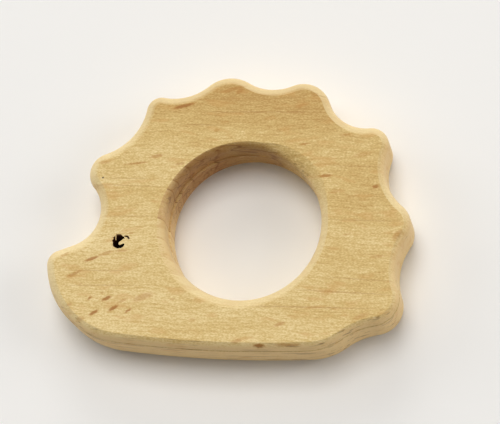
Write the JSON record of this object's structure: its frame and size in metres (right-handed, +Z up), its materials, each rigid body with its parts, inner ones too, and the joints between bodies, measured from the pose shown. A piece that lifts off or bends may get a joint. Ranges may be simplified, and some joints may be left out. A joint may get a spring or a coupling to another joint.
{
  "type": "hedgehog figurine",
  "caption": "Flat wooden hedgehog figure with a scalloped row of blunt spines, a round grip hole, a small drilled eye and rounded edges.",
  "frame": {"origin": "middle of the underside's bounding rectangle, on the back face that the figure lies on", "axes": "+Z up through the board's thickness, -X to the snout, +X to the tail, +Y to the spines, -Y to the belly"},
  "size_m": [0.0748, 0.0584, 0.012],
  "materials": {
    "beech": "sanded bare beech with a dull sheen"
  },
  "bodies": {
    "root": {"beech_body": "beech"}
  },
  "joints": []
}
